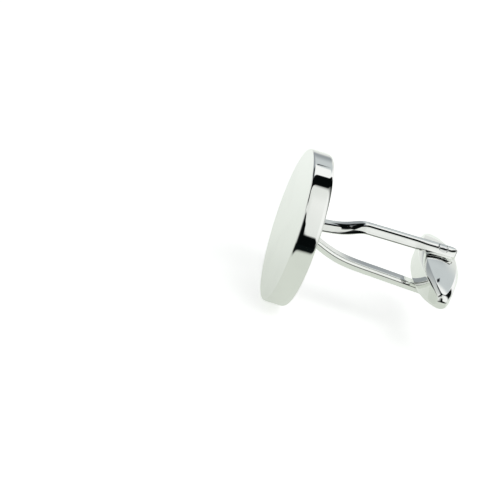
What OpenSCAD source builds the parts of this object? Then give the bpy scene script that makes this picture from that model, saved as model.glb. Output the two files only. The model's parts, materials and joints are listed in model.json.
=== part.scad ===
// Swivel-bar cufflink: a plain round face on a forked stem with a torpedo toggle.
// Millimetres. +X runs from the face to the toggle, +Z along the toggle's pivot,
// and the toggle lies along Y. The origin is the centre of the face.

/* [Face disc] */
// Diameter of the round face
disc_d = 19; // [14:0.5:24]
// Thickness of the face blank
disc_t = 2.7; // [1.6:0.1:4]
// Polished roll round the front edge
disc_front_r = 0.12; // [0.05:0.01:0.3]
// Softer round on the back edge
disc_back_r = 0.5; // [0.2:0.05:0.7]

/* [Fork stem] */
// From the back of the disc to the pivot
stem_l = 16.2; // [15:0.1:20]
// Diameter of the round foot on the disc
foot_d = 4.6; // [4:0.1:7]
// Thickness of the foot
foot_t = 0.6; // [0.5:0.05:1]
// Gap between the two arms where they leave the foot
root_gap = 0.4; // [0.2:0.05:0.8]
// From the back of the disc to the bend in each arm
bend_l = 6; // [5:0.1:6.5]
// Width over the two arms at their bends
bend_w = 6.2; // [5:0.1:6.4]
// Radius of the bend, at the middle of the bar
bend_r = 2; // [1:0.1:4]
// Thickness of an arm
arm_t = 1; // [0.8:0.05:1.3]
// Width of an arm
arm_w = 1.6; // [1.5:0.05:2.2]
// Round along the edges of an arm
arm_edge_r = 0.22; // [0.1:0.01:0.35]
// How far an arm runs on past the pivot
arm_tail = 1.8; // [1.2:0.1:2.4]

/* [Solder] */
// Width of the solder fillet round the foot
solder_w = 0.4; // [0.2:0.05:0.8]

/* [Pivot rivet] */
// Diameter of the rivet
rivet_d = 1.2; // [0.8:0.05:1.3]
// Groove that shows round each flush rivet end
rivet_groove = 0.08; // [0.04:0.01:0.12]
// Depth of the four flats that the leaf spring clicks on
rivet_flat = 0.07; // [0.04:0.01:0.1]

/* [Toggle] */
// Length of the toggle over its round tips
toggle_l = 18.6; // [16:0.1:19]
// Width of the toggle over its front and back facets
toggle_w = 5; // [4.6:0.1:5.4]
// Thickness of the toggle between the arms
toggle_t = 4.35; // [4:0.05:4.8]
// Diameter of the spindle that the facets are cut from
spindle_d = 5.6; // [5.5:0.1:6.2]
// Radius of the round tips
tip_r = 1.1; // [0.9:0.05:1.3]
// Curve of the front and back facets
facet_r = 22.5; // [21:0.5:40]
// Curve of the two cheeks that lie against the arms
cheek_r = 32; // [28:1:60]
// Clearance between a cheek and its arm
cheek_gap = 0.12; // [0.08:0.01:0.3]
// Clearance round the rivet in the toggle's bore
bore_gap = 0.03; // [0.02:0.01:0.06]

/* [Leaf spring] */
// Thickness of the leaf
leaf_t = 0.25; // [0.15:0.01:0.3]
// Width of the leaf
leaf_w = 1.4; // [1:0.05:1.8]
// Length of the leaf
leaf_l = 6.4; // [5.5:0.1:7]
// How far the leaf bows towards the rivet
leaf_bow = 0.4; // [0.3:0.05:0.5]
// Room round the leaf in its pocket
pocket_gap = 0.1; // [0.05:0.01:0.2]

/* [Hidden] */
$fn = 144;
// Overrun that every cut takes past the surface it opens
cut = 0.5;
// The bends and round ends are a hair slimmer than the bars that they join,
// and the bends reach this far into them
joint_inset = 0.01;
bend_lap = 0.05;

disc_r = disc_d / 2;
pivot_x = disc_t + stem_l;
rivet_r = rivet_d / 2;

// The legs splay out from the foot to the bends, and the arms flare on to the rivet,
// where they stand clear of the toggle's cheeks
fork_gap = toggle_t + 2 * cheek_gap;
fork_w = fork_gap + 2 * arm_t;
arm_z = (fork_gap + arm_t) / 2;
bend_z = (bend_w - arm_t) / 2;
root_z = (root_gap + arm_t) / 2;
splay = atan((bend_z - root_z) / bend_l);
flare = atan((arm_z - bend_z) / (stem_l - bend_l));
bend_tangent = bend_r * tan((splay - flare) / 2);

// Each leg starts inside the foot, this share of the foot's thickness up from the disc
root_share = 0.6;
leg_l = (bend_l - root_share * foot_t) / cos(splay) - bend_tangent;
arm_l = (stem_l - bend_l) / cos(flare) - bend_tangent;
arm_round_l = arm_tail - arm_w / 2;

// The spindle's flank is one arc that runs into both round tips
spindle_r = spindle_d / 2;
tip_y = toggle_l / 2 - tip_r;
flank_r = (spindle_r + tip_r) / 2 + tip_y * tip_y / (2 * (spindle_r - tip_r));
flank_end_y = tip_y * flank_r / (flank_r - tip_r);

// The pocket opens away from the face. The leaf stands on its floor, which lies between the
// rivet and the face, and bows up to the rivet.
leaf_x = rivet_r + bore_gap;
leaf_r = (leaf_l * leaf_l / 4 + leaf_bow * leaf_bow) / (2 * leaf_bow);
pocket_floor_x = leaf_x + leaf_t + leaf_bow;
pocket_l = leaf_l + 2 * pocket_gap;
pocket_w = leaf_w + 2 * pocket_gap;

// Turns what is drawn along +Z to run along +X
module along_x() {
    rotate([0, 90, 0]) children();
}

// Moves what is drawn about the origin to the toggle's pivot
module at_pivot() {
    translate([pivot_x, 0, 0]) children();
}

// A square corner with a round of radius r taken out, for rounding edges off
module corner_waste(r) {
    difference() {
        square(r);
        circle(r);
    }
}

// Rectangle with rounded corners, centred
module round_bar(width, height, r) {
    square([width - 2 * r, height], center = true);
    square([width, height - 2 * r], center = true);
    for (sx = [-1, 1], sy = [-1, 1])
        translate([sx * (width / 2 - r), sy * (height / 2 - r)]) circle(r);
}

// Solid round blank, polished flat on the front
module face_disc() {
    color("gainsboro")
        along_x() rotate_extrude() difference() {
            square([disc_r, disc_t]);
            translate([disc_r - disc_back_r, disc_t - disc_back_r]) corner_waste(disc_back_r);
            translate([disc_r - disc_front_r, disc_front_r])
                mirror([0, 1]) corner_waste(disc_front_r);
        }
}

// Hollow fillet of solder that runs round the foot
module solder_fillet() {
    color("lightsteelblue")
        translate([disc_t, 0, 0]) along_x() rotate_extrude()
            translate([foot_d / 2, 0]) difference() {
                square(solder_w);
                translate([solder_w, solder_w]) circle(solder_w);
            }
}

// Section of a bend or a round end, with the arm's thickness along X
module joint_section() {
    round_bar(arm_t - 2 * joint_inset, arm_w - 2 * joint_inset, arm_edge_r - joint_inset);
}

// Straight bar from start to end along X
module arm_bar(start, end) {
    translate([start, 0, 0]) along_x() linear_extrude(end - start)
        round_bar(arm_t, arm_w, arm_edge_r);
}

// Bend at the origin, from a leg that rises at splay to an arm that rises at flare
module arm_bend() {
    lap_angle = bend_lap / bend_r * 180 / PI;
    rotate([0, -flare, 0]) translate([bend_tangent, 0, -bend_r]) rotate([90, 0, 0])
        rotate([0, 0, 90 - lap_angle]) rotate_extrude(angle = splay - flare + 2 * lap_angle)
            translate([bend_r, 0]) joint_section();
}

// Round end of an arm, about the origin
module arm_end() {
    rotate_extrude() intersection() {
        rotate(90) joint_section();
        translate([0, -arm_t]) square(2 * arm_t);
    }
}

// Upper arm: leg, bend, arm and round end
module arm() {
    translate([disc_t + bend_l, 0, bend_z]) {
        rotate([0, -splay, 0]) arm_bar(-leg_l - bend_tangent, -bend_tangent);
        arm_bend();
    }
    translate([pivot_x, 0, arm_z]) rotate([0, -flare, 0]) {
        arm_bar(-arm_l, arm_round_l);
        translate([arm_round_l, 0, 0]) arm_end();
    }
}

// Rivet hole through both arms, eased at its outer mouths
module rivet_hole() {
    at_pivot() {
        cylinder(h = fork_w + 2 * cut, r = rivet_r, center = true);
        for (side = [0, 1]) mirror([0, 0, side])
            translate([0, 0, fork_w / 2 - rivet_groove])
                cylinder(h = 2 * rivet_groove, r1 = rivet_r, r2 = rivet_r + 2 * rivet_groove);
    }
}

// Foot and both arms, cast in one piece
module stem_fork() {
    color("silver") difference() {
        union() {
            translate([disc_t, 0, 0]) along_x() cylinder(h = foot_t, d = foot_d);
            arm();
            mirror([0, 0, 1]) arm();
        }
        rivet_hole();
    }
}

// Rivet: round in the arms, with four shallow flats inside the toggle's pocket
module pivot_rivet() {
    color("darkgray") at_pivot() difference() {
        union() {
            cylinder(h = fork_w - 2 * rivet_groove, r = rivet_r, center = true);
            for (side = [0, 1]) mirror([0, 0, side])
                translate([0, 0, fork_w / 2 - rivet_groove])
                    cylinder(h = rivet_groove, r1 = rivet_r, r2 = rivet_r - rivet_groove);
        }
        for (turn = [0, 90, 180, 270]) rotate(turn)
            translate([rivet_r - rivet_flat, -rivet_d, -pocket_w / 2])
                cube([rivet_d, 2 * rivet_d, pocket_w]);
    }
}

// Turned spindle with round tips, along Y
module spindle() {
    rotate([-90, 0, 0]) rotate_extrude() intersection() {
        union() {
            intersection() {
                translate([spindle_r - flank_r, 0]) circle(flank_r);
                translate([0, -flank_end_y]) square([spindle_d, 2 * flank_end_y]);
            }
            for (side = [-1, 1]) translate([0, side * tip_y]) circle(tip_r);
        }
        translate([0, -toggle_l]) square([spindle_d, 2 * toggle_l]);
    }
}

// Lens-shaped block along Y, as wide as the distance between two curved facets
module facet_block(width, r) {
    linear_extrude(2 * spindle_d, center = true) intersection() {
        translate([r - width / 2, 0]) circle(r);
        translate([width / 2 - r, 0]) circle(r);
    }
}

// Torpedo toggle: spindle with four curved facets, the rivet bore and the leaf's pocket
module toggle_body() {
    color("whitesmoke") at_pivot() difference() {
        intersection() {
            spindle();
            facet_block(toggle_w, facet_r);
            along_x() facet_block(toggle_t, cheek_r);
        }
        cylinder(h = toggle_t + 2 * cut, r = rivet_r + bore_gap, center = true);
        translate([-pocket_floor_x, -pocket_l / 2, -pocket_w / 2])
            cube([pocket_floor_x + toggle_w / 2 + cut, pocket_l, pocket_w]);
    }
}

// Bowed leaf that holds the toggle across or in line with the stem
module detent_leaf() {
    color("peru") at_pivot() mirror([1, 0, 0]) linear_extrude(leaf_w, center = true)
        intersection() {
            translate([leaf_x + leaf_r, 0]) difference() {
                circle(leaf_r);
                circle(leaf_r - leaf_t);
            }
            translate([leaf_x - cut, -leaf_l / 2]) square([leaf_t + leaf_bow + cut, leaf_l]);
        }
}

face_disc();
solder_fillet();
stem_fork();
pivot_rivet();
toggle_body();
detent_leaf();
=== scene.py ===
# Looks of a swivel-bar cufflink: a plain polished disc on a forked stem with a torpedo toggle.
# Sizes here are in millimetres and are turned into metres as each mesh is made.
# +X runs from the face to the toggle, +Z along the toggle's pivot, and the toggle lies along Y.
import json
import math

import bmesh
import bpy
import numpy as np
from mathutils import Matrix, Vector
from mathutils.bvhtree import BVHTree
from mathutils.interpolate import poly_3d_calc


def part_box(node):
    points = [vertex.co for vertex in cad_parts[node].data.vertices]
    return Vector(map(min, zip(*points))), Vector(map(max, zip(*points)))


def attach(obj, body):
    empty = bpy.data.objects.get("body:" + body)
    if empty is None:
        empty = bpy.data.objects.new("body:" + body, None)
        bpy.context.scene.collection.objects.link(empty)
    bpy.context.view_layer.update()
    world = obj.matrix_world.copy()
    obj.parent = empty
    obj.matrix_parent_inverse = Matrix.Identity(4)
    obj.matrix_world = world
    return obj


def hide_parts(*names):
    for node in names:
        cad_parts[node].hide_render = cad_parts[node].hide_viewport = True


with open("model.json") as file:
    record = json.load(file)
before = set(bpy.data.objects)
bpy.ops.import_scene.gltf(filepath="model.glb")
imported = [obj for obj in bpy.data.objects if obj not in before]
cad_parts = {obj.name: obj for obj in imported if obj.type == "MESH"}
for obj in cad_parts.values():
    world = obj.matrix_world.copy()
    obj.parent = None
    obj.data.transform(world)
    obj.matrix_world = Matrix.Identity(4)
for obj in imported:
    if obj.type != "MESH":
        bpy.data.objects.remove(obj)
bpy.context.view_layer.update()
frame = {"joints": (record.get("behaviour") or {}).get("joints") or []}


# Camera
# A long lens, looking slightly down on the side of the cufflink, so that the face is seen
# almost edge on and the fork and the toggle show behind it.
MM = 0.001
focal_length, sensor_width = 167.30, 36
clip_near, clip_far = 0.01, 20  # metres
camera_place = Vector((-46.7, -253.0, 102.6))
camera_right = Vector((0.9435, -0.0229, 0.3308))
camera_up = Vector((-0.292, 0.4154, 0.8615))
camera_ahead = Vector((0.1571, 0.9094, -0.3853))

scene = bpy.context.scene
lens = bpy.data.cameras.new("camera")
lens.lens = focal_length
lens.sensor_width = sensor_width
lens.clip_start = clip_near
lens.clip_end = clip_far
camera = bpy.data.objects.new("camera", lens)
camera_axes = Matrix((camera_right, camera_up, -camera_ahead)).transposed()
camera.matrix_world = Matrix.Translation(camera_place * MM) @ camera_axes.to_4x4()
scene.collection.objects.link(camera)
scene.camera = camera
scene.view_settings.view_transform = "Standard"


# Face disc
# A solid round blank, turned from brass bar, buffed on a wheel and plated to a mirror. The wheel
# has rolled its edges off: tightly round the face, and further down the rim.
face_roll, rim_roll, back_roll, back_rim_roll = 0.30, 0.85, 0.50, 0.60
face_roll_power, back_roll_power = 4.5, 2.4
disc_segments, face_edge_steps, back_edge_steps = 288, 40, 24
steps_per_mm = 20
# Points of a mesh this close, in metres, are one point, and an edge this short is no edge
same_point, no_edge = 2e-7, 1e-8
sharp_from = math.radians(40)


def frame_size(node_name, axis):
    """A CAD part's size along an axis, to the nearest of the steps that the CAD's sizes keep to."""
    low, high = (corner["XYZ".index(axis)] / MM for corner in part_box(node_name))
    return round((high - low) * steps_per_mm) / steps_per_mm


disc_r, disc_t = frame_size("face_disc", "Z") / 2, frame_size("face_disc", "X")


def skin(name, rings, closed_ends=True):
    """A smooth closed mesh over rings of points. Without closed ends, the last ring joins the first."""
    rings = np.asarray(rings, float)
    count, around = rings.shape[:2]
    first = np.arange(count * around).reshape(count, around)
    after = np.roll(first, -1, axis=1)
    if not closed_ends:
        first, after = np.vstack([first, first[:1]]), np.vstack([after, after[:1]])
    quads = np.stack([first[:-1], after[:-1], after[1:], first[1:]], -1).reshape(-1, 4)
    mesh = bpy.data.meshes.new(name)
    mesh.from_pydata((rings.reshape(-1, 3) * MM).tolist(), [], quads.tolist())
    work = bmesh.new()
    work.from_mesh(mesh)
    bmesh.ops.remove_doubles(work, verts=work.verts, dist=same_point)
    bmesh.ops.dissolve_degenerate(work, edges=work.edges, dist=no_edge)
    bmesh.ops.recalc_face_normals(work, faces=work.faces)
    work.to_mesh(mesh)
    work.free()
    mesh.shade_smooth()
    mesh.set_sharp_from_angle(angle=sharp_from)
    piece = bpy.data.objects.new(name, mesh)
    scene.collection.objects.link(piece)
    piece.modifiers.new("flat faces stay flat", "WEIGHTED_NORMAL").keep_sharp = True
    settle(piece)
    return piece


def settle(piece):
    """Makes what the modifiers show the piece's own mesh."""
    bpy.context.view_layer.update()
    mesh = bpy.data.meshes.new_from_object(piece.evaluated_get(bpy.context.evaluated_depsgraph_get()))
    piece.modifiers.clear()
    piece.data = mesh


def dress(piece, body, node_name, material):
    """Gives a finished piece its material and its place in the frame."""
    piece.data.materials.clear()
    piece.data.materials.append(material)
    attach(piece, body)
    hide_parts(node_name)


def lathe(profile, segments, axis):
    """Rings round axis X or Z of a profile of (distance along the axis, radius)."""
    turn = np.linspace(0, 2 * math.pi, segments, endpoint=False)
    rings = []
    for along, radius in profile:
        a, b = radius * np.cos(turn), radius * np.sin(turn)
        line = np.full(segments, float(along))
        rings.append(np.stack([line, a, b] if axis == "X" else [a, b, line], -1))
    return rings


def rolled_edge(width, depth, power, steps):
    """A buffed edge from (0, 0) to (width, depth), square at first and rolled off at its corner."""
    turn = np.linspace(0, math.pi / 2, steps)
    return [(width * math.sin(t) ** (2 / power), depth * (1 - math.cos(t) ** (2 / power))) for t in turn]


def sockets(group, direction, kinds):
    """Adds a row of named sockets to a node group."""
    for name, (kind, value) in kinds.items():
        socket = group.interface.new_socket(name, in_out=direction, socket_type="NodeSocket" + kind)
        if value is not None:
            socket.default_value = value


def node(tree, kind, inputs=(), **settings):
    """A shader node with its settings, and its inputs set to values or linked to sockets."""
    made = tree.nodes.new("ShaderNode" + kind)
    for key, value in settings.items():
        setattr(made, key, value)
    for key, value in dict(inputs).items():
        if isinstance(value, bpy.types.NodeSocket):
            tree.links.new(value, made.inputs[key])
        else:
            made.inputs[key].default_value = value
    return made


def blend_colours(tree, share, under, over):
    """The colour between two colours or colour sockets, which is the second where the share is 1."""
    inputs = {0: share}
    for number, colour in ((6, under), (7, over)):
        inputs[number] = (*colour, 1) if isinstance(colour, tuple) else colour
    return node(tree, "Mix", inputs, data_type="RGBA").outputs[2]


# What the buffing wheel leaves on plated metal: hairlines along its stroke, soft clouds of haze
# from handling, and a surface that is never quite flat. A noise shows between its two limits.
hairline_from, hairline_full, hairline_share = 0.56, 0.74, 0.45
haze_from, haze_full = 0.42, 0.72
buffed = bpy.data.node_groups.new("buffed", "ShaderNodeTree")
sockets(buffed, "INPUT", {
    "Place": ("Vector", None), "Stroke": ("Vector", (1, 1, 1)), "Line Size": ("Float", 20.0),
    "Haze Size": ("Float", 0.3), "Wave Size": ("Float", 0.3),
    "Finest": ("Float", 0.03), "Coarsest": ("Float", 0.08),
})
sockets(buffed, "OUTPUT", {"Haze": ("Float", None), "Roughness": ("Float", None), "Height": ("Float", None)})
given, out = buffed.nodes.new("NodeGroupInput").outputs, buffed.nodes.new("NodeGroupOutput").inputs
place = node(buffed, "VectorMath", {0: given["Place"], "Scale": 1 / MM}, operation="SCALE").outputs[0]
stroke = node(buffed, "VectorMath", {0: place, 1: given["Stroke"]}, operation="MULTIPLY").outputs[0]
lines = node(buffed, "TexNoise", {"Vector": stroke, "Scale": given["Line Size"], "Detail": 3.0})
lines = node(buffed, "MapRange", {
    "Value": lines.outputs["Fac"], "From Min": hairline_from, "From Max": hairline_full})
haze = node(buffed, "TexNoise", {"Vector": place, "Scale": given["Haze Size"], "Detail": 3.0})
haze = node(buffed, "MapRange", {
    "Value": haze.outputs["Fac"], "From Min": haze_from, "From Max": haze_full},
    interpolation_type="SMOOTHSTEP")
marks = node(
    buffed, "Math", {0: lines.outputs[0], 1: hairline_share, 2: haze.outputs[0]},
    operation="MULTIPLY_ADD", use_clamp=True)
rough = node(buffed, "MapRange", {
    "Value": marks.outputs[0], "To Min": given["Finest"], "To Max": given["Coarsest"]})
waves = node(buffed, "TexNoise", {
    "Vector": place, "Scale": given["Wave Size"], "Detail": 1.0, "Roughness": 0.35})
buffed.links.new(haze.outputs[0], out["Haze"])
buffed.links.new(rough.outputs[0], out["Roughness"])
buffed.links.new(waves.outputs["Fac"], out["Height"])


def metal(name, clean, hazed, stroke, line_size, haze_size, wave_size, wave_height, finest, coarsest):
    """A metal whose colour, roughness and flatness come from the buffing marks.

    A size is a noise's scale per millimetre, and stroke scales it along each axis, so that the
    hairlines run along an axis with a small one."""
    material = bpy.data.materials.new(name)
    material.use_nodes = True
    tree = material.node_tree
    tree.nodes.clear()
    marks = node(tree, "Group", {
        "Place": node(tree, "TexCoord").outputs["Object"], "Stroke": stroke, "Line Size": line_size,
        "Haze Size": haze_size, "Wave Size": wave_size, "Finest": finest, "Coarsest": coarsest,
    }, node_tree=buffed).outputs
    relief = node(tree, "Bump", {"Height": marks["Height"], "Distance": wave_height * MM, "Strength": 1.0})
    surface = node(tree, "BsdfPrincipled", {
        "Base Color": blend_colours(tree, marks["Haze"], clean, hazed), "Metallic": 1.0,
        "Roughness": marks["Roughness"], "Normal": relief.outputs["Normal"],
    })
    tree.links.new(surface.outputs["BSDF"], node(tree, "OutputMaterial").inputs["Surface"])
    return material


face_flat_r, back_flat_r = disc_r - face_roll, disc_r - back_roll
face_edge = rolled_edge(face_roll, rim_roll, face_roll_power, face_edge_steps)
back_edge = rolled_edge(back_roll, back_rim_roll, back_roll_power, back_edge_steps)
disc_profile = [(0, 0), (0, face_flat_r / 2)]
disc_profile += [(drop, face_flat_r + over) for over, drop in face_edge]
disc_profile += [(disc_t - drop, back_flat_r + over) for over, drop in reversed(back_edge)]
disc_profile += [(disc_t, back_flat_r / 2), (disc_t, 0)]
disc_plate = metal(
    "disc_plate", clean=(0.93, 0.94, 0.925), hazed=(0.905, 0.915, 0.90), stroke=(1, 1, 1),
    line_size=9.0, haze_size=0.22, wave_size=0.22, wave_height=0.0012, finest=0.02, coarsest=0.06)
face_disc = skin("face_disc_buffed", lathe(disc_profile, disc_segments, "X"))
dress(face_disc, "stem", "face_disc", disc_plate)


# Solder fillet
# Silver solder that ran round the foot of the fork and was left as it set, a little uneven and
# duller than the plated metal on both sides of it.
foot_d, solder_w = frame_size("stem_fork", "Y"), frame_size("solder_fillet", "X")
solder_lap = 0.05
solder_segments, hollow_steps = 96, 10


def solder_rings():
    """Sections of the fillet all the way round the foot, each hollow between the disc and the foot."""
    rings = []
    for turn in np.linspace(0, 2 * math.pi, solder_segments, endpoint=False):
        width = solder_w * (1 + 0.10 * math.sin(3 * turn + 1) + 0.06 * math.sin(7 * turn))
        section = [
            (disc_t + width * (1 - math.sin(a)), foot_d / 2 + width * (1 - math.cos(a)))
            for a in np.linspace(0, math.pi / 2, hollow_steps)]
        section += [
            (disc_t - solder_lap, foot_d / 2 + width), (disc_t - solder_lap, foot_d / 2 - solder_lap),
            (disc_t + width, foot_d / 2 - solder_lap)]
        rings.append([(x, radius * math.cos(turn), radius * math.sin(turn)) for x, radius in section])
    return rings


silver_solder = metal(
    "silver_solder", clean=(0.70, 0.69, 0.64), hazed=(0.56, 0.54, 0.48), stroke=(1, 1, 1),
    line_size=4.0, haze_size=1.6, wave_size=1.8, wave_height=0.02, finest=0.26, coarsest=0.44)
solder_fillet = skin("solder_fillet_set", solder_rings(), closed_ends=False)
dress(solder_fillet, "stem", "solder_fillet", silver_solder)


# Fork stem
# One casting in plated brass: a round foot on the disc, and two arms that splay out, bend, and run
# on past the pivot to round ends. The arms' inner faces are flat, and the buffing wheel rolled
# their outer edges over.
foot_t, foot_roll, foot_steps, foot_ring_r, foot_segments = 0.6, 0.12, 8, 1.2, 120
pivot_x = round(frame["joints"][0]["pos_m"][0] / MM, 3)
arm_start, arm_end, arm_round = 2.95, 20.7, 0.9
root_x, root_flare = 3.28, 0.28
flare_end = root_x + root_flare
# Middle line of each arm (x, distance from the stem's axis), then its width and depth at x
arm_lines = {
    "upper": [
        (2.9, 0.98), (4.4, 1.22), (5.8, 1.44), (7.2, 1.83), (8.2, 2.25), (9.0, 2.51),
        (9.8, 2.565), (12.2, 2.607), (15.6, 2.652), (18.9, 2.71), (20.9, 2.745)],
    "lower": [
        (2.9, 0.68), (4.2, 1.10), (5.0, 1.42), (6.0, 1.79), (7.0, 2.08), (8.0, 2.28),
        (9.4, 2.43), (12.0, 2.55), (15.3, 2.69), (18.9, 2.84), (20.9, 2.91)],
}
arm_widths = {"upper": [(3, 1.60), (20, 1.58)], "lower": [(3, 1.72), (20, 1.74)]}
arm_depths = {"upper": [(3, 0.94), (20, 0.93)], "lower": [(3, 1.12), (8, 1.16), (16, 1.14), (20, 1.08)]}
# Each half of a section is walked from the middle of its outer face over its front or back edge to
# the inner face, as arcs of (the slope in degrees that an arc turns to, its length or its lengths at
# arc_stops along the arm), with a point about every arc_step degrees. The walk starts at arm_lean,
# the outer face's slope down to the front.
arc_stops = (6.2, 7.7, 9.4, 15.6, 16.8)
front_arcs = {
    "upper": [
        (33, 0.23), (46, 0.21), (50, 0.08), (57, (0.50, 0.12, 0.50, 0.50, 0.42)),
        (70, (0.03, 0.03, 0.03, 0.03, 0.01)), (84, (0.09, 0.48, 0.09, 0.09, 0.01)),
        (96, (0.04, 0.04, 0.04, 0.04, 0.01)), (99, (0.02, 0.02, 0.02, 0.02, 0.29)), (180, 0.08)],
    "lower": [(10, 0.40), (50, 0.34), (84, 0.38), (94, 0.15), (174, 0.61)],
}
back_arcs = {
    "upper": [(-20, 0.12), (-14, 0.135), (-7, 0.20), (-2, 0.20), (86, 0.14), (92, 0.84), (178, 0.24)],
    "lower": [(4, 0.50), (86, 0.34), (92, 0.55), (178, 0.24)],
}
arm_lean = {"upper": 24, "lower": 0}
arc_step = 5
# Rings are close together as far as bend_end. Sections stand upright at the root and tip over with
# the arm within tip_over. The last ring stops at end_turn, in radians, short of the end's very point.
bend_end, tip_over, slope_step, end_turn, end_power = 11, 1.0, 0.05, 1.5, 8
root_rings, flare_rings, bend_rings, leg_rings, end_rings = 3, 9, 72, 40, 20


def smooth_through(points, at):
    """Values at x of the natural cubic curve that runs through (x, value) points."""
    x, y = np.array(points, float).T
    gaps, rises = np.diff(x), np.diff(y) / np.diff(x)
    bend = np.zeros(len(x))
    matrix = np.diag(2 * (gaps[:-1] + gaps[1:])) + np.diag(gaps[1:-1], 1) + np.diag(gaps[1:-1], -1)
    bend[1:-1] = np.linalg.solve(matrix, 6 * np.diff(rises))
    i = np.clip(np.searchsorted(x, at) - 1, 0, len(x) - 2)
    t, h = at - x[i], gaps[i]
    slope = rises[i] - h * (2 * bend[i] + bend[i + 1]) / 6
    return y[i] + t * slope + t * t * bend[i] / 2 + t ** 3 * (bend[i + 1] - bend[i]) / (6 * h)


def half_section(arcs, turned, x, half_width, depth):
    """Points (across, up) from the outer to the inner middle, fitted to a half width and a depth."""
    points = [(0.0, 0.0)]
    for turn, lengths in arcs:
        length = np.interp(x, arc_stops, lengths) if isinstance(lengths, tuple) else lengths
        steps = max(2, math.ceil(abs(turn - turned) / arc_step))
        for step in range(steps):
            slope = math.radians(turned + (turn - turned) * (step + 0.5) / steps)
            across, up = points[-1]
            points.append((across + length / steps * math.cos(slope), up - length / steps * math.sin(slope)))
        turned = turn
    points = np.array(points)
    points[:, 0] *= half_width / points[:, 0].max()
    points[:, 1] *= depth / -points[:, 1].min()
    inner = [(points[-1, 0] * share, -depth) for share in (0.66, 0.33, 0.0)]
    return np.concatenate([points, inner]) + (0, depth / 2)


def arm_section(side, x):
    """Points (across, up) of an arm's section at x, all round from the middle of its outer face."""
    half_width, depth = np.interp(x, *zip(*arm_widths[side])) / 2, np.interp(x, *zip(*arm_depths[side]))
    front = half_section(front_arcs[side], arm_lean[side], x, half_width, depth) * (-1, 1)
    back = half_section(back_arcs[side], -arm_lean[side], x, half_width, depth)
    return np.concatenate([front, back[-2:0:-1]])


def capped(rings):
    """Rings with one more at each end, drawn together to a point."""
    ends = [np.broadcast_to(np.mean(ring, axis=0), np.shape(ring)) for ring in (rings[0], rings[-1])]
    return [ends[0], *rings, ends[1]]


def arm_rings(side):
    """Rings of one arm from inside the foot, round its bend, to its round end."""
    straight_end = arm_end - arm_round
    stops = np.concatenate([
        np.linspace(arm_start, root_x, root_rings)[:-1],
        root_x + root_flare * (1 - np.cos(np.linspace(0, math.pi / 2, flare_rings)))[:-1],
        np.linspace(flare_end, bend_end, bend_rings)[:-1],
        np.linspace(bend_end, straight_end, leg_rings)[:-1],
        straight_end + arm_round * np.sin(np.linspace(0, end_turn, end_rings)),
    ])
    line = arm_lines[side]
    sign = 1 if side == "upper" else -1
    rings = []
    for x in stops:
        rise = smooth_through(line, x + slope_step) - smooth_through(line, x - slope_step)
        slope = math.atan(rise / (2 * slope_step))
        slope *= min(1.0, max(0.0, (x - root_x - root_flare) / tip_over))
        section = arm_section(side, x)
        near = min(root_flare, max(0.0, flare_end - x))
        section *= 1 + (root_flare - math.sqrt(root_flare ** 2 - near ** 2)) / np.abs(section).max(axis=0)
        past = max(0.0, (x - straight_end) / arm_round)
        section *= (math.sqrt(1 - past ** 2), (1 - past ** end_power) ** (1 / end_power))
        z = smooth_through(line, x)
        rings.append([
            (x - up * math.sin(slope), across, sign * (z + up * math.cos(slope))) for across, up in section])
    return capped(rings)


def shaded_skin(piece):
    """A tree of a mesh's triangles for finding the nearest point, with its corners and their shading."""
    mesh = piece.data
    mesh.calc_loop_triangles()
    corners = [v.co.copy() for v in mesh.vertices]
    triangles = [tuple(t.vertices) for t in mesh.loop_triangles]
    shading = [[mesh.corner_normals[k].vector.copy() for k in t.loops] for t in mesh.loop_triangles]
    return BVHTree.FromPolygons(corners, triangles), corners, triangles, shading


def fuse(piece, how, tool):
    """Joins a closed mesh to a piece or cuts it out. Each face keeps the shading of its own skin."""
    skins = [shaded_skin(piece), shaded_skin(tool)]
    joint = piece.modifiers.new("joint", "BOOLEAN")
    joint.operation, joint.solver, joint.object = how, "EXACT", tool
    settle(piece)
    bpy.data.objects.remove(tool)
    mesh = piece.data
    mesh.shade_smooth()
    normals = [(0.0, 0.0, 1.0)] * len(mesh.loops)
    # A corner's shading is looked up this share of the way to the middle of its face
    just_inside = 0.05
    for face in mesh.polygons:
        distances = [tree.find_nearest(face.center)[3] for tree, *_ in skins]
        tree, corners, triangles, shading = skins[int(distances[1] < distances[0])]
        for loop, vertex in zip(face.loop_indices, face.vertices):
            spot = mesh.vertices[vertex].co.lerp(face.center, just_inside)
            place, _, found, _ = tree.find_nearest(spot)
            shares = poly_3d_calc([corners[k] for k in triangles[found]], place)
            normal = sum((n * share for n, share in zip(shading[found], shares)), Vector())
            normals[loop] = (normal if normal.dot(face.normal) > 0 else -normal).normalized()
    mesh.normals_split_custom_set(normals)


foot_back, foot_top = disc_t - solder_lap, disc_t + foot_t
foot_edge = rolled_edge(foot_roll, foot_roll, 2.0, foot_steps)
foot_profile = [(foot_back, 0), (foot_back, foot_d / 2)]
foot_profile += [(foot_top - drop, foot_d / 2 - foot_roll + over) for over, drop in reversed(foot_edge)]
foot_profile += [(foot_top, foot_ring_r), (foot_top, 0)]
stem_fork = skin("stem_fork_cast", lathe(foot_profile, foot_segments, "X"))
for side in ("upper", "lower"):
    fuse(stem_fork, "UNION", skin("arm_" + side, arm_rings(side)))


# Pivot rivet
# A steel pin through both arms and the toggle. Its ends were peened into the eased mouths of the
# holes and ground flush with the arms. Four flats in its middle are what the leaf clicks on.
rivet_r = frame_size("pivot_rivet", "X") / 2
rivet_flat, pocket_w = 0.07, 1.6
mouth_r, mouth_drop = 0.67, 0.10
hole_from, hole_to = 1.9, 4.2
rivet_segments = 72
# The outer face is what lies above the first height and in front of the second distance
outer_above, outer_before = -0.2, 0.7
# The share of a mouth's rise and drop that is left at the rivet's front and back, where the arm's
# own edge falls away
mouth_at_sides = 0.03


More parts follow.
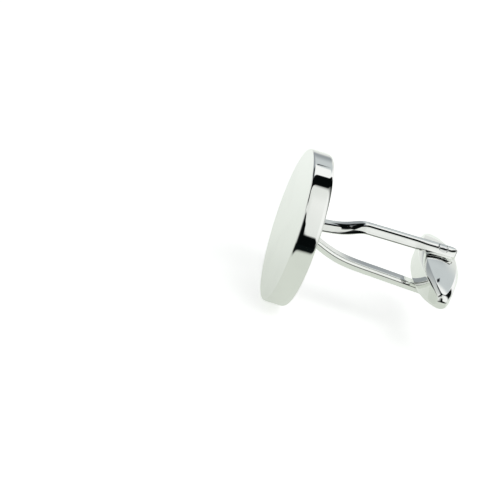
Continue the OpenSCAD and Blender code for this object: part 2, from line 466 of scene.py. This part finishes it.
def arm_top(side, across):
    """Height of an arm's outer face above the stem's axis at the pivot, at a distance across it."""
    section = arm_section(side, pivot_x)
    outer = section[(section[:, 1] > outer_above) & (section[:, 0] < outer_before)]
    outer = outer[np.argsort(outer[:, 0])]
    return smooth_through(arm_lines[side], pivot_x) + np.interp(across, outer[:, 0], outer[:, 1])


def pivot_rings(side, profile):
    """Rings about the pivot of (radius, height over the arm's outer face) or (radius, 0, plain height)."""
    sign = 1 if side == "upper" else -1
    turn = np.linspace(0, 2 * math.pi, rivet_segments, endpoint=False)
    share = mouth_at_sides + (1 - mouth_at_sides) * np.cos(turn) ** 4
    rings = []
    for radius, over, *plain in profile:
        across = radius * np.sin(turn)
        height = np.full(rivet_segments, plain[0]) if plain else arm_top(side, across) + over * share
        rings.append(np.stack([pivot_x + radius * np.cos(turn), across, sign * height], -1))
    return rings


def flat_rings():
    """Rings round the rivet at both ends of its four flats."""
    turn = np.linspace(0, 2 * math.pi, rivet_segments, endpoint=False)
    squareness = np.maximum(np.abs(np.cos(turn)), np.abs(np.sin(turn)))
    flat_r = np.minimum(rivet_r, (rivet_r - rivet_flat) / squareness)
    rings = []
    for radius, side_z in ((rivet_r, 1), (flat_r, 1), (flat_r, -1), (rivet_r, -1)):
        height = np.full(rivet_segments, side_z * pocket_w / 2)
        rings.append(np.stack([pivot_x + radius * np.cos(turn), radius * np.sin(turn), height], -1))
    return rings


hole = [
    (0, 0, hole_from), (rivet_r, 0, hole_from), (rivet_r, -mouth_drop), (mouth_r, 0.0),
    (2 * mouth_r - rivet_r, mouth_drop), (0, 0, hole_to)]
for side in ("upper", "lower"):
    fuse(stem_fork, "DIFFERENCE", skin("hole_" + side, pivot_rings(side, hole)))
fork_plate = metal(
    "fork_plate", clean=(0.92, 0.93, 0.915), hazed=(0.88, 0.89, 0.875), stroke=(0.04, 1, 1),
    line_size=14.0, haze_size=0.5, wave_size=0.5, wave_height=0.001, finest=0.03, coarsest=0.10)
dress(stem_fork, "stem", "stem_fork", fork_plate)

rivet_end = [
    (0, 0.0), (0.2, 0.0), (0.4, -0.001), (0.48, -0.006), (0.53, -0.022), (0.57, -0.06),
    (0.59, -0.11), (rivet_r, -0.17), (rivet_r, -0.3)]
rivet_rings = pivot_rings("upper", rivet_end) + flat_rings() + pivot_rings("lower", rivet_end)[::-1]
rivet_steel = metal(
    "rivet_steel", clean=(0.80, 0.81, 0.81), hazed=(0.70, 0.71, 0.71), stroke=(1, 1, 1),
    line_size=20.0, haze_size=0.9, wave_size=0.8, wave_height=0.001, finest=0.06, coarsest=0.14)
pivot_rivet = skin("pivot_rivet_peened", rivet_rings)
dress(pivot_rivet, "stem", "pivot_rivet", rivet_steel)


# Toggle
# A torpedo turned from brass with round tips, ground to two broad facets and to two cheeks that run
# between the arms, then buffed and plated to a mirror. A pocket for the leaf is milled into the
# facet that looks away from the face.
toggle_w, toggle_l, toggle_t = (frame_size("toggle_body", axis) for axis in "XYZ")
spindle_r, tip_r = 2.8, 1.1
facet_r, cheek_r = 22.5, 32.0
edge_roll, cheek_crown = 0.12, 0.05
bore_gap, bore_reach, bore_segments = 0.03, 3, 48
pocket_floor, pocket_l, pocket_round, pocket_ease, pocket_out = 1.28, 6.6, 0.2, 0.06, 4.0
facet_points, roll_points, flank_points, corner_points = 13, 5, 9, 6
tip_sections, flank_sections = 21, 83
tip_y = toggle_l / 2 - tip_r
flank_r = (spindle_r + tip_r) / 2 + tip_y ** 2 / (2 * (spindle_r - tip_r))
flank_end = tip_y * flank_r / (flank_r - tip_r)


def spindle_radius(y):
    """Radius of the turned torpedo at y along it."""
    y = abs(y)
    if y < flank_end:
        return spindle_r - flank_r + math.sqrt(flank_r ** 2 - y ** 2)
    return math.sqrt(max(tip_r ** 2 - (y - tip_y) ** 2, 0.0))


def facet_x(y):
    """Half the width over the two broad facets at y."""
    return toggle_w / 2 - facet_r + np.sqrt(facet_r ** 2 - y * y)


def cheek_z(y):
    """Half the thickness over the two cheeks at y."""
    return toggle_t / 2 - cheek_r + math.sqrt(cheek_r ** 2 - y * y)


def arc(centre, radius, start, end, count):
    """Points of an arc from one angle towards another, without the last."""
    return [
        (centre[0] + radius * math.cos(a), centre[1] + radius * math.sin(a))
        for a in np.linspace(start, end, count)[:-1]]


def toggle_section(y):
    """Points (x, z) of the torpedo's section at y: facet, rolled edge, turned flank and so on round."""
    r = spindle_radius(y)
    roll = min(edge_roll, r / 3)
    core = r - roll
    crowns = (0.0, cheek_crown)
    halves = [half - crown * max(0.0, r * r - half * half)
              for half, crown in zip((facet_x(y), cheek_z(y)), crowns)]
    # At a very tip the section has no size, and its core is held above zero
    turns = [math.acos(min(1.0, max(half - roll, 0) / max(core, 1e-9))) for half in halves]
    tilts = [min(turn, 2 * crown * core * math.sin(turn)) for turn, crown in zip(turns, crowns)]
    points = []
    for quarter in range(4):
        here, there = quarter % 2, 1 - quarter % 2
        turn, tilt, crown = turns[here], tilts[here], crowns[here]
        after, tilt_after = math.pi / 2 - turns[there], math.pi / 2 - tilts[there]
        edge_centre = (core * math.cos(turn), core * math.sin(turn))
        next_centre = (core * math.sin(turns[there]), core * math.cos(turns[there]))
        half = edge_centre[0] + roll * math.cos(tilt)
        crown_end = edge_centre[1] + roll * math.sin(tilt)
        outline = [
            (half + crown * crown_end ** 2 * (1 - share ** 2), share * crown_end)
            for share in np.linspace(-1, 1, facet_points)[:-1]]
        outline += arc(edge_centre, roll, tilt, turn, roll_points)
        outline += arc((0, 0), r, turn, after, flank_points)
        outline += arc(next_centre, roll, after, tilt_after, roll_points)
        c, s = [(1, 0), (0, 1), (-1, 0), (0, -1)][quarter]
        points += [(c * px - s * pz, s * px + c * pz) for px, pz in outline]
    return points


def pocket_ring(x, over_facet=False, grow=0.0, size=1.0):
    """A ring of the pocket's cutter at x beyond the pivot, or over the facet. With size 0 it is a point."""
    corner = [(math.cos(a), math.sin(a)) for a in np.linspace(0, math.pi / 2, corner_points)]
    ring = []
    for side_y, side_z in ((1, 1), (-1, 1), (-1, -1), (1, -1)):
        for corner_y, corner_z in (corner if side_y * side_z > 0 else corner[::-1]):
            y = size * side_y * (pocket_l / 2 - pocket_round + (pocket_round + grow) * corner_y)
            z = size * side_z * (pocket_w / 2 - pocket_round + (pocket_round + grow) * corner_z)
            ring.append((pivot_x + (facet_x(y) + x if over_facet else x), y, z))
    return ring


stations = np.concatenate([
    -toggle_l / 2 + tip_r * (1 - np.cos(np.linspace(0, math.pi / 2, tip_sections))),
    np.linspace(-tip_y, tip_y, flank_sections)[1:-1],
    toggle_l / 2 - tip_r * (1 - np.cos(np.linspace(math.pi / 2, 0, tip_sections))),
])
toggle_rings = [[(pivot_x + x, y, z) for x, z in toggle_section(y)] for y in stations]
toggle_body = skin("toggle_body_buffed", toggle_rings)
pocket_rings = [
    pocket_ring(-pocket_floor, size=0),
    pocket_ring(-pocket_floor),
    pocket_ring(-pocket_ease, over_facet=True),
    pocket_ring(0.0, over_facet=True, grow=pocket_ease),
    pocket_ring(pocket_ease, over_facet=True, grow=2 * pocket_ease),
    pocket_ring(pocket_out, size=0),
]
fuse(toggle_body, "DIFFERENCE", skin("pocket", pocket_rings))
bore_r = rivet_r + bore_gap
bore_profile = [(-bore_reach, 0), (-bore_reach, bore_r), (bore_reach, bore_r), (bore_reach, 0)]
bore_rings = [ring + (pivot_x, 0, 0) for ring in lathe(bore_profile, bore_segments, "Z")]
fuse(toggle_body, "DIFFERENCE", skin("bore", bore_rings))
toggle_plate = metal(
    "toggle_plate", clean=(0.92, 0.93, 0.915), hazed=(0.89, 0.90, 0.885), stroke=(1, 0.05, 1),
    line_size=12.0, haze_size=0.45, wave_size=0.4, wave_height=0.001, finest=0.03, coarsest=0.09)
dress(toggle_body, "toggle", "toggle_body", toggle_plate)


# Leaf spring
# A strip of hard spring steel, stamped out and bowed, that stands on the floor of the pocket and
# presses on the rivet's flats. It was only tumbled, so it is darker and has its rolling lines.
leaf_w, leaf_l = frame_size("detent_leaf", "Z"), frame_size("detent_leaf", "Y")
leaf_t, leaf_bow, leaf_round = 0.25, 0.4, 0.06
leaf_near = rivet_r + bore_gap
leaf_r = (leaf_l ** 2 / 4 + leaf_bow ** 2) / (2 * leaf_bow)
leaf_sections, leaf_corner_points = 49, 6
# The least flat between two rounded corners, where the clipped ends are thinnest
least_flat = 0.001


def leaf_rings():
    """Rings of the strip's section with rounded edges, along its bow, narrowed at the clipped ends."""
    rings = []
    for y in leaf_l / 2 * np.sin(np.linspace(-math.pi / 2, math.pi / 2, leaf_sections)):
        clip = max(0.0, (abs(y) - leaf_l / 2 + leaf_round) / leaf_round)
        less = leaf_round * (1 - math.sqrt(max(0.0, 1 - clip ** 2)))
        half_t, half_w = leaf_t / 2 - less, leaf_w / 2 - less
        middle = leaf_near + leaf_r - math.sqrt((leaf_r - leaf_t / 2) ** 2 - y ** 2)
        ring = []
        for quarter, (side_x, side_z) in enumerate(((1, 1), (-1, 1), (-1, -1), (1, -1))):
            for a in np.linspace(0, math.pi / 2, leaf_corner_points) + quarter * math.pi / 2:
                x = side_x * (half_t - leaf_round + least_flat) + leaf_round * math.cos(a)
                z = side_z * (half_w - leaf_round + least_flat) + leaf_round * math.sin(a)
                ring.append((pivot_x - middle + x, y, z))
        rings.append(ring)
    return capped(rings)


spring_strip = metal(
    "spring_strip", clean=(0.58, 0.59, 0.60), hazed=(0.46, 0.46, 0.46), stroke=(1, 0.06, 1),
    line_size=24.0, haze_size=1.0, wave_size=0.8, wave_height=0.002, finest=0.16, coarsest=0.30)
detent_leaf = skin("detent_leaf_bowed", leaf_rings())
dress(detent_leaf, "toggle", "detent_leaf", spring_strip)


# Table
# A broad sheet of pale paper that the cufflink lies on. In the metal it shows painted light: for glossy rays
# the paper glows, a little brighter behind, and a black patch is painted on it for the dark round the
# camera.
floor_z = -disc_r
table_half = 3.0  # metres
black = (0.002, 0.003, 0.003)
# Seen in a mirror the paper is dimmed and glows with painted light instead, brighter behind; the camera sees
# it plain white
paper_colour, mirrored_paper, plain_white = (0.80, 0.84, 0.78), (0.26, 0.27, 0.25), (0.9, 0.9, 0.9)
painted_glow_near, painted_glow_behind, plain_glow = (0.50, 0.53, 0.48), (0.74, 0.77, 0.74), (0.5, 0.5, 0.5)

square = ((-1, -1), (1, -1), (1, 1), (-1, 1))
table_corners = [(x * table_half, y * table_half, floor_z * MM) for x, y in square]
table_mesh = bpy.data.meshes.new("table")
table_mesh.from_pydata(table_corners, [], [(0, 1, 2, 3)])
table = bpy.data.objects.new("table", table_mesh)
scene.collection.objects.link(table)
paper = bpy.data.materials.new("paper")
paper.use_nodes = True
# The helpers of the table and the tent add nodes to the tree that has this name at the time
tree = paper.node_tree
tree.nodes.clear()


def edge(value, start, end):
    """0 up to start and 1 from end on, upwards or downwards, with a soft step between them."""
    low, high = min(start, end), max(start, end)
    at_low, at_high = (0.0, 1.0) if start < end else (1.0, 0.0)
    limits = {"Value": value, "From Min": low, "From Max": high, "To Min": at_low, "To Max": at_high}
    return node(tree, "MapRange", limits, interpolation_type="SMOOTHSTEP").outputs[0]


def meet(*masks):
    """The mask that is 1 only where all of these are 1."""
    found = masks[0]
    for mask in masks[1:]:
        found = node(tree, "Math", {0: found, 1: mask}, operation="MULTIPLY").outputs[0]
    return found


def slant(value, rise, other):
    """One value times a rise, plus another, for an edge that runs aslant."""
    return node(tree, "Math", {0: value, 1: rise, 2: other}, operation="MULTIPLY_ADD").outputs[0]


def lay(under, mask, colour):
    """A colour laid over another one where a mask is 1."""
    return blend_colours(tree, mask, under, colour)


def degrees(angle):
    """An angle in degrees."""
    return node(tree, "Math", {0: angle}, operation="DEGREES").outputs[0]


def turn_of(axes):
    """Degrees round from +X of a point or a direction."""
    return degrees(node(tree, "Math", {0: axes["Y"], 1: axes["X"]}, operation="ARCTAN2").outputs[0])


rays = node(tree, "LightPath").outputs
here = node(tree, "TexCoord").outputs["Object"]
place = node(tree, "VectorMath", {0: here, "Scale": 1 / MM}, operation="SCALE").outputs[0]
spot = node(tree, "SeparateXYZ", {0: place}).outputs
turned = turn_of(spot)
away = node(tree, "VectorMath", {0: place}, operation="LENGTH").outputs["Value"]
# How far from the cufflink the painted dark patch is full, which is nearer on the side that the face looks
# to
full_dark = node(tree, "MapRange", {
    "Value": turned, "From Min": -92, "From Max": -79, "To Min": 60, "To Max": 105}).outputs[0]
share = node(tree, "Math", {0: away, 1: full_dark}, operation="DIVIDE").outputs[0]
# Painted reflection: glossy rays see the paper black towards the camera, for the dark round it
dark = meet(edge(share, 0.55, 1.0), edge(turned, -150, -100), edge(turned, 0, -45), rays["Is Glossy Ray"])
# Painted light: the glow that glossy rays see grows from the front of the paper to the back
behind = node(tree, "MapRange", {"Value": spot["Y"], "From Min": -10, "From Max": 50}).outputs[0]
colour = lay(lay(paper_colour, rays["Is Glossy Ray"], mirrored_paper), dark, black)
colour = lay(colour, rays["Is Camera Ray"], plain_white)
glow = lay(lay(black, rays["Is Glossy Ray"], lay(painted_glow_near, behind, painted_glow_behind)), dark, black)
glow = lay(glow, rays["Is Camera Ray"], plain_glow)
sheet = node(tree, "BsdfDiffuse", {"Color": colour})
shine = node(tree, "Emission", {"Color": glow, "Strength": 1.0})
glowing_sheet = node(tree, "AddShader", {0: sheet.outputs[0], 1: shine.outputs[0]})
tree.links.new(glowing_sheet.outputs[0], node(tree, "OutputMaterial").inputs["Surface"])
table_mesh.materials.append(paper)


# Tent
# White cloth all round, with a grey wall and a white card behind the cufflink, two gaps in the
# roof, and a dark open side where the camera stands. It lights the cufflink and is mirrored in it,
# and the camera sees plain white.
cloth, cloth_at_right = (0.80, 0.82, 0.79), (0.96, 0.97, 0.95)
wall_grey, wall_pale = (0.325, 0.35, 0.368), (0.58, 0.62, 0.63)
card_white, hem_white, seam_dark = (1.02, 1.02, 1.02), (0.97, 0.98, 0.97), (0.02, 0.02, 0.025)
# Each gap in the roof is a band square to its direction
long_gap_way, short_gap_way = (-0.47, 0.88, -0.106), (0.939, -0.20, 0.279)

world = bpy.data.worlds.new("tent")
scene.world = world
world.use_nodes = True
tree = world.node_tree
tree.nodes.clear()
way = node(tree, "TexCoord").outputs["Generated"]
axes = node(tree, "SeparateXYZ", {0: way}).outputs
# Directions in degrees: turned round from +X, and raised above the table
turned = turn_of(axes)
raised = degrees(node(tree, "Math", {0: axes["Z"]}, operation="ARCSINE").outputs[0])


def along(direction):
    """How nearly each direction of the tent points along this one, from -1 to 1."""
    return node(tree, "VectorMath", {0: way, 1: direction}, operation="DOT_PRODUCT").outputs["Value"]


seam_line = slant(turned, -0.75, raised)
corner_line = slant(turned, 1.57, raised)
top_line = slant(turned, 0.28, raised)
long_way, short_way = along(long_gap_way), along(short_gap_way)
right_side = meet(edge(turned, -85, -60), edge(turned, 20, -10), edge(raised, 0, 20), edge(raised, 80, 55))
wall = meet(edge(raised, 4, 16), edge(turned, 68, 76), edge(turned, 170, 125))
wall_middle = meet(edge(raised, 18, 36), edge(turned, 48, 58), edge(turned, 100, 84))
card = meet(edge(turned, 38, 41), edge(turned, 62, 50), edge(raised, -20, -5))
hem = meet(edge(raised, 47, 51), edge(turned, 45, 50), edge(turned, 92, 82))
seam = meet(
    edge(seam_line, -13.2, -12.2), edge(seam_line, -9.4, -10.4),
    edge(turned, 74.6, 75.6), edge(turned, 78.8, 77.8))
wall_slot = meet(edge(turned, 116, 124), edge(turned, 145, 143), edge(raised, 47, 49), edge(raised, 62, 58))
beside_card = meet(edge(turned, -15, 30), edge(turned, 41, 38), edge(raised, -15, 12))
long_gap = meet(edge(long_way, -0.17, -0.14), edge(long_way, 0.145, 0.12), edge(axes["Z"], 0.5, 0.6))
short_gap = meet(edge(short_way, -0.16, -0.12), edge(short_way, 0.14, 0.11), edge(axes["Z"], 0.78, 0.86))
open_side = meet(
    edge(turned, -140, -92), edge(turned, -79.2, -79.9),
    edge(raised, 49, 42), edge(corner_line, -92.5, -96.5))
open_corner = meet(edge(turned, -90, -80.5), edge(turned, -22, -55), edge(top_line, -5.3, -8.9))
tent = cloth
for mask, tone in (
        (right_side, cloth_at_right), (wall, wall_grey), (wall_middle, wall_pale), (card, card_white),
        (hem, hem_white), (seam, seam_dark), (wall_slot, black), (beside_card, black), (long_gap, black),
        (short_gap, black), (open_side, black), (open_corner, black)):
    tent = lay(tent, mask, tone)
tent = lay(tent, node(tree, "LightPath").outputs["Is Camera Ray"], (1.0, 1.0, 1.0))
light = node(tree, "Background", {"Color": tent, "Strength": 1.0})
tree.links.new(light.outputs[0], node(tree, "OutputWorld").inputs["Surface"])


# Key lamp
# A broad soft lamp in front and above, which gives the faint shadow on the table. The metal
# doesn't mirror it. Its size and place are in metres.
key_size, key_power, key_place = 0.5, 1.2, Vector((0.1, -0.35, 0.75))
key = bpy.data.lights.new("key", "AREA")
key.shape = "DISK"
key.size = key_size
key.energy = key_power
key_lamp = bpy.data.objects.new("key", key)
key_lamp.location = key_place
key_lamp.rotation_euler = (-key_place).to_track_quat("-Z", "Y").to_euler()
key_lamp.visible_glossy = False
scene.collection.objects.link(key_lamp)
